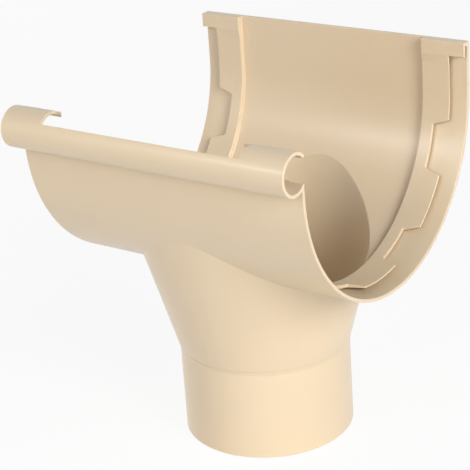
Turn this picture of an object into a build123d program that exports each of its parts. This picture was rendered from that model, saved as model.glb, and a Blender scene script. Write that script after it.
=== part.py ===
from build123d import *
import math
import os

# Gutter outlet for a half-round gutter, moulded in one piece of rigid plastic.
# Sizes are in millimetres. The origin is the centre of the spigot's lower mouth,
# +Z is up, X runs along the gutter and +Y is the wall side, where the trough is high.

# Trough: a half pipe with straight walls above its centre line
seat_radius = 68.6
trough_wall = 2.0
trough_axis_height = 151.8
back_rise = 23.6

# Spigot: the pipe end that goes into the downpipe
spigot_radius = 40.0
spigot_length = 42.1
spigot_wall = 2.0

# Hopper: the cone that joins the spigot to the trough
hopper_top_gap = 0.8
hopper_wall = 2.0
line_rise = 2.2
line_depth = 0.3
throat_blend = 1.5
throat_edge = 1.2
throat_land = 1.2

# Front bead: a roll that is open towards the trough
bead_radius = 9.2
bead_wall = 1.5
bead_stand_off = 4.4
bead_lift = 9.1
bead_tip_angle = 40.0
bead_lip_angle = -44.0
bead_collar = 21.5
bead_cut_depth = 2.25
spur_reach = 3.8
spur_back = 2.6
spur_corner = 1.5
spur_slant = 44.0

# Castellated lip inside each end, with a slot behind it that takes the gutter's end
rib_height = 2.5
lip_round = 1.1
rib_root = 15.7
rib_crest = 7.9
rib_inset = 21.8
lip_edge = 0.9
slot_inset = 20.0
slot_foot_width = 0.5
seat_flare = 0.3
seat_chamfer = 0.4
tooth_pitch = 44.8
notch_root_angle = 17.4
notch_flare = 2.8

# Hook at each end of the back wall, which holds the gutter's rear edge
hook_reach = 5.2
hook_plate = 1.3
hook_drop = 6.6
hook_cap = 2.0
hook_ramp = 4.2

trough_radius = seat_radius + trough_wall
hopper_rise = trough_axis_height - spigot_length
hopper_slope = (trough_radius - hopper_top_gap - spigot_radius) / hopper_rise
line_height = spigot_length + line_rise
back_top = trough_axis_height + back_rise


def hopper_radius(height):
    """Outer radius of the cone at a height above the spigot mouth."""
    return spigot_radius + hopper_slope * (height - spigot_length)


rib_radius = seat_radius - rib_height
throat_half_length = hopper_radius(trough_axis_height - seat_radius) - hopper_wall
half_length = throat_half_length + throat_land + rib_inset
trough_length = 2 * half_length
bead_y = -(trough_radius + bead_stand_off)
bead_z = trough_axis_height + bead_lift
bead_middle_radius = bead_radius - bead_wall / 2
front_rise = bead_lift + bead_radius * math.sin(math.radians(bead_lip_angle))
embed = trough_wall / 3
trough_axis = Axis((0, 0, trough_axis_height), (1, 0, 0))


def half_disc(radius):
    """Lower half of a disc round the trough's centre line, on the current plane."""
    with BuildSketch() as disc:
        with BuildLine():
            CenterArc((0, trough_axis_height), radius, 180, 180)
            Line((-radius, trough_axis_height), (radius, trough_axis_height))
        make_face()
    return disc.sketch


def castellated_lip(end):
    """One lip with its hook and ramp, at the end of the trough that has the sign of end."""
    crest_in = end * (half_length - rib_inset)
    crest_out = end * (half_length - rib_crest)
    buried = seat_radius + embed
    face_y = trough_radius - hook_reach
    plate_bottom = back_top - hook_drop
    with BuildPart() as lip:
        # Section on the back wall, level with the trough's centre line
        with BuildSketch(Plane.XY.offset(trough_axis_height)) as section:
            with BuildLine():
                Polyline(
                    (crest_in, buried),
                    (crest_in, rib_radius),
                    (crest_out, rib_radius),
                    (crest_out, buried),
                    close=True,
                )
            make_face()
        revolve(axis=trough_axis, revolution_arc=-180)
        extrude(section.sketch, amount=back_rise - hook_drop)
        extrude(mirror(section.sketch, about=Plane.XZ, mode=Mode.PRIVATE), amount=front_rise)
        # Notches between the teeth, cut square to the wall at their middle
        for step in (-1.5, -0.5, 0.5, 1.5):
            turn = math.radians(step * tooth_pitch)
            outward = (0, math.sin(turn), -math.cos(turn))
            facing = Plane(origin=(0, 0, trough_axis_height), x_dir=(1, 0, 0), z_dir=outward)
            root_half = rib_radius * math.tan(math.radians(notch_root_angle / 2))
            mouth_half = root_half + notch_flare
            root = end * (half_length - rib_root)
            mouth = crest_out + end * embed
            with BuildSketch(facing.offset(rib_radius / 2)):
                with BuildLine():
                    Polyline(
                        (root, -root_half),
                        (mouth, -mouth_half),
                        (mouth, mouth_half),
                        (root, root_half),
                        close=True,
                    )
                make_face()
            extrude(amount=seat_radius, mode=Mode.SUBTRACT)
        # Hook over the back wall's top, and the ramp under it
        with BuildSketch(Plane.YZ.offset(crest_in)):
            with Locations((trough_radius, back_top)):
                Rectangle(hook_reach, hook_drop, align=(Align.MAX, Align.MAX))
        extrude(amount=end * rib_inset)
        with BuildSketch(Plane.YZ.offset(crest_in)):
            with BuildLine():
                Polyline(
                    (face_y, plate_bottom),
                    (rib_radius, plate_bottom - hook_ramp),
                    (seat_radius, plate_bottom - hook_ramp),
                    (seat_radius, plate_bottom),
                    close=True,
                )
            make_face()
        extrude(amount=end * (rib_inset - rib_crest))
        # Rounded inner edge, from the hook's top all the way round to the front
        rim = lip.edges().filter_by_position(Axis.X, crest_in - embed, crest_in + embed)
        fillet(rim.filter_by(lambda e: reach(e) < seat_radius - rib_height / 2), radius=lip_round)
    return lip.part


def reach(edge):
    """Distance of an edge's middle from the trough's middle plane or centre line."""
    middle = edge.position_at(0.5)
    return math.hypot(middle.Y, min(0, middle.Z - trough_axis_height))


def gutter_room(end):
    """Room for the gutter's end: the slot behind the lip, and the flared seat outside it."""
    slot_foot = end * (half_length - slot_inset)
    lip_tip = end * (half_length - rib_crest)
    lip_back = rib_radius + lip_edge
    chamfer_in = end * (half_length - seat_chamfer)
    with BuildPart() as room:
        # Section on the back wall, level with the trough's centre line
        with BuildSketch(Plane.XY.offset(trough_axis_height)) as section:
            with BuildLine():
                Polyline(
                    (slot_foot, seat_radius),
                    (slot_foot, seat_radius - slot_foot_width),
                    (lip_tip, lip_back),
                    (end * half_length, lip_back),
                    (end * half_length, seat_radius + seat_flare + seat_chamfer),
                    (chamfer_in, seat_radius + seat_flare),
                    close=True,
                )
            make_face()
        revolve(axis=trough_axis, revolution_arc=-180)
        extrude(section.sketch, amount=back_rise - hook_cap)
        extrude(mirror(section.sketch, about=Plane.XZ, mode=Mode.PRIVATE), amount=front_rise)
    return room.part


with BuildPart() as gutter_outlet:
    # Outside of the trough's lower half, the hopper and the spigot
    with BuildSketch(Plane.YZ.offset(-half_length)):
        add(half_disc(trough_radius))
    extrude(amount=trough_length)
    with BuildSketch(Plane.XZ):
        with BuildLine():
            Polyline(
                (0, 0),
                (spigot_radius, 0),
                (spigot_radius, spigot_length),
                (hopper_radius(line_height - line_depth), line_height - line_depth),
                (hopper_radius(line_height) - line_depth, line_height),
                (hopper_radius(line_height + line_depth), line_height + line_depth),
                (hopper_radius(trough_axis_height), trough_axis_height),
                (0, trough_axis_height),
                close=True,
            )
        make_face()
    revolve(axis=Axis.Z)
    outer_junction = gutter_outlet.edges(Select.LAST).filter_by(GeomType.BSPLINE)
    fillet(outer_junction, radius=throat_blend)

    # Inside of the trough, the hopper and the spigot
    with BuildSketch(Plane.YZ):
        add(half_disc(seat_radius))
    extrude(amount=half_length + trough_radius, both=True, mode=Mode.SUBTRACT)
    with BuildSketch(Plane.XZ):
        with BuildLine():
            Polyline(
                (0, 0),
                (spigot_radius - spigot_wall, 0),
                (spigot_radius - spigot_wall, spigot_length),
                (hopper_radius(trough_axis_height) - hopper_wall, trough_axis_height),
                (0, trough_axis_height),
                close=True,
            )
        make_face()
    revolve(axis=Axis.Z, mode=Mode.SUBTRACT)
    hole_edge = gutter_outlet.edges(Select.LAST).filter_by(GeomType.BSPLINE)
    fillet(hole_edge, radius=throat_edge)

    # Straight walls above the centre line, high at the back and low at the front
    with BuildSketch(Plane.YZ.offset(-half_length)):
        with Locations((seat_radius, trough_axis_height)):
            Rectangle(trough_wall, back_rise, align=(Align.MIN, Align.MIN))
        with Locations((-seat_radius, trough_axis_height)):
            Rectangle(trough_wall, front_rise, align=(Align.MAX, Align.MIN))
    extrude(amount=trough_length)

    # Front bead: a roll open towards the trough
    with BuildSketch(Plane.YZ.offset(-half_length)):
        with BuildLine():
            bead_sweep = 360 + bead_lip_angle - bead_tip_angle
            CenterArc((bead_y, bead_z), bead_middle_radius, bead_tip_angle, bead_sweep)
        trace(line_width=bead_wall)
    extrude(amount=trough_length)

    # The bead's top is cut away between its end collars, which keep a pointed spur each
    with BuildSketch(Plane.XY.offset(bead_z)):
        collar_x = half_length - bead_collar
        spur_x = collar_x - spur_reach
        front_y = bead_y - bead_radius + bead_cut_depth
        spur_y = bead_y + spur_back
        back_y = bead_y + bead_radius
        slant_x = spur_x + (back_y - spur_y) * math.tan(math.radians(spur_slant))
        with BuildLine():
            Polyline(
                (collar_x, front_y),
                (collar_x, spur_y),
                (spur_x, spur_y),
                (slant_x, back_y),
                (-slant_x, back_y),
                (-spur_x, spur_y),
                (-collar_x, spur_y),
                (-collar_x, front_y),
                close=True,
            )
        outline = make_face()
        inner_corners = outline.vertices().filter_by(lambda v: v.Y > front_y and abs(v.X) < slant_x)
        inner_corners = inner_corners.filter_by(lambda v: abs(v.X) > spur_x)
        fillet(inner_corners, radius=spur_corner)
    extrude(amount=bead_radius + bead_wall, mode=Mode.SUBTRACT)

    # Lip, hook and slot at each end
    for end in (-1, 1):
        add(castellated_lip(end))
        add(gutter_room(end), mode=Mode.SUBTRACT)
        with BuildSketch(Plane.YZ.offset(end * half_length)):
            with Locations((seat_radius, back_top - hook_cap)):
                hook_slot = hook_reach - trough_wall - hook_plate
                Rectangle(hook_slot, hook_drop, align=(Align.MAX, Align.MAX))
        extrude(amount=-end * rib_crest, mode=Mode.SUBTRACT)

gutter_outlet.part.label = "gutter_outlet"

os.makedirs("parts", exist_ok=True)
export_step(gutter_outlet.part, "parts/gutter_outlet.step")
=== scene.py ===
# %% [markdown]
# # A moulded gutter outlet, finished and lit
#
# The object is the piece of a half-round gutter that lets the water fall into the
# downpipe. It is one moulding in sand-coloured rigid plastic. Its form is already
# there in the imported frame, so this lesson is about finish: how the sharp edges of
# a drawing become the soft edges of a moulding, how the plastic takes light, and
# how a plain studio shows both.

# %% Load the frame
import math

import bmesh
import bpy
import numpy as np
from mathutils import Matrix, Vector


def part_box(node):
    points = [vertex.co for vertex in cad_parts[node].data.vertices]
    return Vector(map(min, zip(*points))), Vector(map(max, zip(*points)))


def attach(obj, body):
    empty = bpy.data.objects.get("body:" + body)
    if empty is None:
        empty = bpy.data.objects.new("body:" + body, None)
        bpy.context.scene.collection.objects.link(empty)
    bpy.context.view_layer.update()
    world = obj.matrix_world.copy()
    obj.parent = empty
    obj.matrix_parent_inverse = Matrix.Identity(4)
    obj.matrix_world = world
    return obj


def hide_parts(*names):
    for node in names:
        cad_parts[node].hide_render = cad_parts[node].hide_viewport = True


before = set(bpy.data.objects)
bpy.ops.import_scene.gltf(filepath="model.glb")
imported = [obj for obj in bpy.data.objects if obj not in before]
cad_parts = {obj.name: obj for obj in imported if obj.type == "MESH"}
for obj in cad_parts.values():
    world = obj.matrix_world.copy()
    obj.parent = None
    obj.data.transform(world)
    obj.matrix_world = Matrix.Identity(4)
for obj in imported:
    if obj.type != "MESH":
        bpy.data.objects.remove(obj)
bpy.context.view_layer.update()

MM = 0.001
outlet_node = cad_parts["gutter_outlet"]
low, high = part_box("gutter_outlet")
print("outlet", [round(v / MM, 1) for v in high - low], "mm")

# %% [markdown]
# ## The moulding's body
#
# The frame's mesh is loose triangles with knife-sharp corners. A real moulding has
# none: the tool's edges are eased by about a third of a millimetre, and that small
# round catches a thin line of light along every rim, tooth and hook. The edges
# could be rounded one by one in the drawing, at the cost of thousands of facets.
# A bevel on the finished mesh gives the same look for two named values, so the
# triangles are joined first, and the corners are marked once they are whole.

# %% Join the triangles of the frame into one skin
JOIN_DISTANCE = 0.001 * MM
SLIVER = 0.01 * MM

skin = bmesh.new()
skin.from_mesh(outlet_node.data)
bmesh.ops.remove_doubles(skin, verts=skin.verts, dist=JOIN_DISTANCE)
bmesh.ops.dissolve_degenerate(skin, dist=SLIVER, edges=skin.edges)
print("skin:", len(skin.verts), "points,", len(skin.faces), "triangles")

# %% [markdown]
# ## The inner edge of each lip
#
# Inside each end runs a castellated lip. Its inner face throws the dark line that
# the photograph shows on the back wall, and that line is crisp only if the edge is
# tight. The drawing rounds this edge generously and stands the face square. Here
# the round is shrunk towards the corner that it replaced, and the foot of the face
# leans in by a third of a millimetre, as the draft of a mould would have it. Moving
# the points that are there keeps the mesh whole, which cutting a new edge would not.

# %% Tighten the edge and lean the face
TROUGH_AXIS = 151.8 * MM
SEAT_RADIUS = 68.6 * MM
CREST_RADIUS = 66.1 * MM
LIP_INSET = 21.8 * MM
LIP_FACE = high.x - LIP_INSET
DRAWN_ROUND = 1.1 * MM
TIGHT_ROUND = 0.4 * MM
FOOT_LEAN = 0.35 * MM
FRONT_TOP = 155.0 * MM


def tighten_lips(points):
    """A point of the drawn round, of radius R, stands u behind the lip's face and v
    under its crest, where u = R (1 - cos t) and v = R (1 - sin t). Both shrink by
    r / R, which leaves a round of radius r in the same corner. A point at the foot
    of the face only moves inwards along the gutter."""
    x, y, z = points.T
    drop = np.minimum(0, z - TROUGH_AXIS)
    reach = np.hypot(y, drop)
    inside = (reach < SEAT_RADIUS + SLIVER) & ~((y < 0) & (z > FRONT_TOP))
    behind = np.abs(x) - LIP_FACE

    in_band = (behind > -SLIVER) & (behind < DRAWN_ROUND + SLIVER)
    on_round = inside & in_band & (reach < CREST_RADIUS + DRAWN_ROUND + SLIVER)
    cosine = np.clip(1 - behind / DRAWN_ROUND, 0, 1)
    under = DRAWN_ROUND * (1 - np.sqrt(1 - cosine**2))
    shrink = np.where(on_round, 1 - TIGHT_ROUND / DRAWN_ROUND, 0)
    near_foot = reach > CREST_RADIUS + 2 * DRAWN_ROUND
    at_foot = inside & (np.abs(behind) < SLIVER) & near_foot
    print("points on the round:", on_round.sum(), "at the foot:", at_foot.sum())

    moved = points.copy()
    moved[:, 0] -= np.sign(x) * (shrink * behind + np.where(at_foot, FOOT_LEAN, 0))
    moved[:, 1] -= shrink * under * y / reach
    moved[:, 2] -= shrink * under * drop / reach
    return moved


drawn = np.array([point.co for point in skin.verts])
for point, place in zip(skin.verts, tighten_lips(drawn)):
    point.co = place

# %% [markdown]
# ## Corners and folds
#
# A mould eases the corners of a piece, and leaves a slight fold crisp, like the one
# at the ramp under each hook. A bevel limited by angle would round every edge that
# turns enough, on slivers too, where it tears the surface. So the flat triangles are
# merged into whole faces first, and then each edge is judged by how far it turns and
# by how wide the faces beside it are. Corners get a weight, which the bevel follows,
# and folds are marked sharp, which the shading follows.

# %% Merge the flat triangles into whole faces
FLAT_ANGLE = math.radians(0.2)

bmesh.ops.dissolve_limit(
    skin, angle_limit=FLAT_ANGLE, verts=skin.verts, edges=skin.edges, delimit={"NORMAL"}
)
print("skin:", len(skin.verts), "points,", len(skin.faces), "faces")

# %% Mark the corners that a mould would ease, and the folds that it leaves crisp
CORNER_ANGLE = math.radians(50)
FOLD_ANGLE = math.radians(9)
LEAST_CORNER_WIDTH = 0.08 * MM
LEAST_FOLD_WIDTH = 0.6 * MM


def mark_edges(skin):
    """Weight 1 for the bevel where two faces of useful width meet at a corner, and a
    sharp edge where they meet at a slight fold, as on the ramp under each hook.
    A face's width beside an edge is its area divided by the edge's length."""
    weight = skin.edges.layers.float.new("bevel_weight_edge")
    corners = folds = 0
    for edge in skin.edges:
        narrow = min(face.calc_area() for face in edge.link_faces) / edge.calc_length()
        turn = edge.calc_face_angle(0) if len(edge.link_faces) == 2 else 0
        if turn > CORNER_ANGLE and narrow > LEAST_CORNER_WIDTH:
            edge[weight] = 1
            corners += 1
        elif turn > FOLD_ANGLE and narrow > LEAST_FOLD_WIDTH:
            edge.smooth = False
            folds += 1
    print("corners:", corners, "folds:", folds, "of", len(skin.edges), "edges")


for face in skin.faces:
    face.smooth = True
mark_edges(skin)
outlet_mesh = bpy.data.meshes.new("outlet_moulding")
skin.to_mesh(outlet_mesh)
skin.free()

# %% Ease the marked corners by a third of a millimetre
CORNER_ROUND = 0.3 * MM
ROUND_STEPS = 3
LARGE_FACE_PULL = 60

outlet = bpy.data.objects.new("outlet_moulding", outlet_mesh)
bpy.context.scene.collection.objects.link(outlet)

eased = outlet.modifiers.new("eased corners", "BEVEL")
eased.width = CORNER_ROUND
eased.segments = ROUND_STEPS
eased.limit_method = "WEIGHT"
eased.use_clamp_overlap = False
eased.miter_outer = "MITER_ARC"
even = outlet.modifiers.new("even shading", "WEIGHTED_NORMAL")
even.mode = "FACE_AREA"
even.weight = LARGE_FACE_PULL
even.keep_sharp = True

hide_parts("gutter_outlet")
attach(outlet, "root")
print("corners eased by", CORNER_ROUND / MM, "mm in", ROUND_STEPS, "steps")

# %% [markdown]
# ## Rigid plastic with a satin skin
#
# Pipe and gutter fittings are made of rigid plastic, coloured right through. The
# skin copies a polished tool that has dulled a little: smooth enough to mirror a
# lamp as a soft patch, with a very fine grain that blurs it, and with faint lines
# where the plastic flowed up the mould. A picture of real plastic could be wrapped
# round the piece, but its seams would show on a form like this. Noise read from the
# object's own coordinates has no seams, so one shader carries the lines, the grain
# and a faint unevenness of colour.

# %% Helpers that add a shader node, and a fine relief
def add_node(tree, kind, **inputs):
    """Adds a node and sets its sockets by name, with spaces written as underscores."""
    node = tree.nodes.new(kind)
    for name, value in inputs.items():
        node.inputs[name.replace("_", " ")].default_value = value
    return node


def add_relief(tree, vector, scale, roughness, strength, depth):
    """A bump whose height is noise: hills about 1 / scale metres across, that rise
    by depth times strength."""
    noise = add_node(
        tree, "ShaderNodeTexNoise", Scale=scale, Detail=2.0, Roughness=roughness
    )
    bump = add_node(tree, "ShaderNodeBump", Strength=strength, Distance=depth)
    tree.links.new(vector, noise.inputs["Vector"])
    tree.links.new(noise.outputs["Fac"], bump.inputs["Height"])
    return bump


# %% The sand colour, which wanders slightly over centimetres
SAND = (0.70, 0.562, 0.386)
SAND_DARKER = (0.68, 0.542, 0.37)
CLOUD_SCALE = 38.0


def add_sand_colour(tree, vector):
    """A mix of two close colours, with soft noise as the share of each."""
    cloud = add_node(
        tree, "ShaderNodeTexNoise", Scale=CLOUD_SCALE, Detail=3.0, Roughness=0.5
    )
    mix = tree.nodes.new("ShaderNodeMix")
    mix.data_type = "RGBA"
    mix.inputs["A"].default_value = (*SAND_DARKER, 1)
    mix.inputs["B"].default_value = (*SAND, 1)
    tree.links.new(vector, cloud.inputs["Vector"])
    tree.links.new(cloud.outputs["Fac"], mix.inputs["Factor"])
    return mix.outputs["Result"]


# %% The plastic
SATIN_ROUGHNESS = 0.30
PLASTIC_IOR = 1.5
PLASTIC_SPECULAR = 0.65
LINES_SCALE = 420.0
LINES_STRETCH = (1.0, 1.0, 0.04)
LINES_STRENGTH = 0.15
LINES_DEPTH = 0.1 * MM
GRAIN_SCALE = 1900.0
GRAIN_STRENGTH = 0.12
GRAIN_DEPTH = 0.06 * MM


def make_plastic():
    """Satin plastic: flow lines, which are noise drawn out along the height, and over
    them a grain of about half a millimetre."""
    material = bpy.data.materials.new("sand_plastic")
    material.use_nodes = True
    tree = material.node_tree
    tree.nodes.clear()
    link = tree.links.new
    place = tree.nodes.new("ShaderNodeTexCoord").outputs["Object"]
    stretch = add_node(tree, "ShaderNodeMapping", Scale=LINES_STRETCH)
    link(place, stretch.inputs["Vector"])
    drawn_out = stretch.outputs["Vector"]
    lines = add_relief(tree, drawn_out, LINES_SCALE, 0.5, LINES_STRENGTH, LINES_DEPTH)
    grain = add_relief(tree, place, GRAIN_SCALE, 0.6, GRAIN_STRENGTH, GRAIN_DEPTH)
    shader = add_node(
        tree, "ShaderNodeBsdfPrincipled", Roughness=SATIN_ROUGHNESS, IOR=PLASTIC_IOR
    )
    shader.inputs["Specular IOR Level"].default_value = PLASTIC_SPECULAR
    out = tree.nodes.new("ShaderNodeOutputMaterial")
    link(add_sand_colour(tree, place), shader.inputs["Base Color"])
    link(lines.outputs["Normal"], grain.inputs["Normal"])
    link(grain.outputs["Normal"], shader.inputs["Normal"])
    link(shader.outputs["BSDF"], out.inputs["Surface"])
    print("plastic:", len(tree.nodes), "shader nodes")
    return material


outlet_mesh.materials.clear()
outlet_mesh.materials.append(make_plastic())

# %% [markdown]
# ## The studio
#
# The photograph has the object on white. A closed white box would do that, but its
# walls would also light the object from every side and flatten its form. So a pale
# floor carries the shadow, and the floor and the world are white only where they are
# looked at, directly, in a gloss or through glass. To all other light the floor is
# plain matt and the world is dim.

# %% What is looked at
def seen_rays(tree):
    """1 for the rays that look at a surface directly, in a gloss or through glass,
    and 0 for the rays that carry its light to other things."""
    path = tree.nodes.new("ShaderNodeLightPath")
    total = path.outputs["Is Camera Ray"]
    for name in ("Is Glossy Ray", "Is Transmission Ray"):
        larger = tree.nodes.new("ShaderNodeMath")
        larger.operation = "MAXIMUM"
        tree.links.new(total, larger.inputs[0])
        tree.links.new(path.outputs[name], larger.inputs[1])
        total = larger.outputs["Value"]
    return total


# %% Floor
FLOOR_REACH = 6.0
FLOOR_PALE = 0.87
FLOOR_GLOW = 0.9


def make_floor():
    """Pale matt floor that shows shadow. Seen directly, part of its light is its own."""
    material = bpy.data.materials.new("pale_floor")
    material.use_nodes = True
    tree = material.node_tree
    tree.nodes.clear()
    pale = (FLOOR_PALE, FLOOR_PALE, FLOOR_PALE, 1)
    matt = add_node(tree, "ShaderNodeBsdfDiffuse", Color=pale)
    glow = add_node(tree, "ShaderNodeEmission", Color=(1, 1, 1, 1), Strength=1.0)
    share = tree.nodes.new("ShaderNodeMixShader")
    part = tree.nodes.new("ShaderNodeMath")
    part.operation = "MULTIPLY"
    part.inputs[1].default_value = FLOOR_GLOW
    out = tree.nodes.new("ShaderNodeOutputMaterial")
    link = tree.links.new
    link(seen_rays(tree), part.inputs[0])
    link(part.outputs["Value"], share.inputs["Fac"])
    link(matt.outputs["BSDF"], share.inputs[1])
    link(glow.outputs["Emission"], share.inputs[2])
    link(share.outputs["Shader"], out.inputs["Surface"])
    return material


floor_signs = ((-1, -1), (1, -1), (1, 1), (-1, 1))
floor_corners = [(x * FLOOR_REACH, y * FLOOR_REACH, 0) for x, y in floor_signs]
floor_mesh = bpy.data.meshes.new("floor")
floor_mesh.from_pydata(floor_corners, [], [(0, 1, 2, 3)])
floor_mesh.materials.append(make_floor())
floor = bpy.data.objects.new("floor", floor_mesh)
bpy.context.scene.collection.objects.link(floor)
print("floor:", 2 * FLOOR_REACH, "m square")

# %% World
WORLD_LIGHT = 0.12

world = bpy.data.worlds.new("studio")
bpy.context.scene.world = world
world.use_nodes = True
sky = world.node_tree
sky.nodes.clear()
soft = add_node(sky, "ShaderNodeBackground", Color=(1, 1, 1, 1), Strength=WORLD_LIGHT)
white = add_node(sky, "ShaderNodeBackground", Color=(1, 1, 1, 1), Strength=1.0)
chosen = sky.nodes.new("ShaderNodeMixShader")
sky_out = sky.nodes.new("ShaderNodeOutputWorld")
sky.links.new(seen_rays(sky), chosen.inputs["Fac"])
sky.links.new(soft.outputs["Background"], chosen.inputs[1])
sky.links.new(white.outputs["Background"], chosen.inputs[2])
sky.links.new(chosen.outputs["Shader"], sky_out.inputs["Surface"])
print("world: light", WORLD_LIGHT, "and white where it is looked at")

# %% [markdown]
# ## The lamps
#
# The light in the photograph is soft and comes mostly from the right, with a weaker
# wash from the front that keeps the hollow of the trough open. One huge lamp could
# give such softness, but it couldn't shade the bead, the wall and the spigot each by
# its own amount. So soft square lamps share the work. A small one at the front left
# leaves the streak of light on the back wall, and one low on the left, a little
# behind, fills the faces that look away from the others.

# %% Lamps
MIDDLE = Vector((0, 0, 0.12))
LAMP_DISTANCE = 1.6
# Name, azimuth and elevation in degrees, side in metres, power in watts
LAMPS = (
    ("right_high", 70, 28, 0.6, 11.4),
    ("right_low", 70, 10, 0.6, 7.2),
    ("right_back", 86, 28, 0.6, 6.2),
    ("front_near", -2, 27, 0.6, 4.0),
    ("front_wide", -2, 27, 1.2, 4.5),
    ("left_wide", -22, 16, 1.2, 2.2),
    ("left_small", -27, 22, 0.2, 1.9),
    ("rear_low", 255, 8, 1.0, 12),
)


def direction(azimuth, elevation):
    """The way from the object to a place round it: x = sin a cos e, y = -cos a cos e
    and z = sin e, with azimuth a 0 at the front and 90 degrees at the right."""
    a, e = math.radians(azimuth), math.radians(elevation)
    return Vector((math.sin(a) * math.cos(e), -math.cos(a) * math.cos(e), math.sin(e)))


def add_lamp(name, azimuth, elevation, side, power):
    """A square soft lamp that stands on a sphere round the object and faces it."""
    away = direction(azimuth, elevation)
    data = bpy.data.lights.new(name, "AREA")
    data.size = side
    data.energy = power
    lamp = bpy.data.objects.new(name, data)
    lamp.location = MIDDLE + away * LAMP_DISTANCE
    lamp.rotation_euler = away.to_track_quat("Z", "Y").to_euler()
    bpy.context.scene.collection.objects.link(lamp)


for lamp_values in LAMPS:
    add_lamp(*lamp_values)
print("lamps:", len(LAMPS), "with", round(sum(values[-1] for values in LAMPS), 1), "W")

# %% [markdown]
# ## The camera
#
# The photograph was taken from the front right, a little above, with a long lens.
# The angles and the distance could be found by trying, but they also follow from the
# picture's own edges: the rims at both ends are equal circles, so their sizes and
# places in the picture tell where the camera stood. That gave the values below.

# %% Camera
CAMERA_AZIMUTH = 36.24
CAMERA_ELEVATION = 22.59
CAMERA_ROLL = math.radians(-4.02)
CAMERA_DISTANCE = 736.33 * MM
CAMERA_TARGET = Vector((-13.46, 0, 91.82)) * MM
CAMERA_LENS = 121.34
SENSOR_WIDTH = 36

back = direction(CAMERA_AZIMUTH, CAMERA_ELEVATION)
level_right = (-back).cross(Vector((0, 0, 1))).normalized()
level_up = level_right.cross(-back)
right = level_right * math.cos(CAMERA_ROLL) + level_up * math.sin(CAMERA_ROLL)
up = level_up * math.cos(CAMERA_ROLL) - level_right * math.sin(CAMERA_ROLL)

lens = bpy.data.cameras.new("camera")
lens.lens = CAMERA_LENS
lens.sensor_width = SENSOR_WIDTH
camera = bpy.data.objects.new("camera", lens)
pose = Matrix((right, up, back)).transposed().to_4x4()
pose.translation = CAMERA_TARGET + back * CAMERA_DISTANCE
camera.matrix_world = pose
bpy.context.scene.collection.objects.link(camera)
bpy.context.scene.camera = camera
print("camera at", [round(v / MM) for v in pose.translation], "mm")

# %% [markdown]
# ## Plain colours
#
# A film-like view transform would fade the sand colour and grey the white floor. The
# standard one shows each colour about as it is written.

# %% View settings
bpy.context.scene.view_settings.view_transform = "Standard"
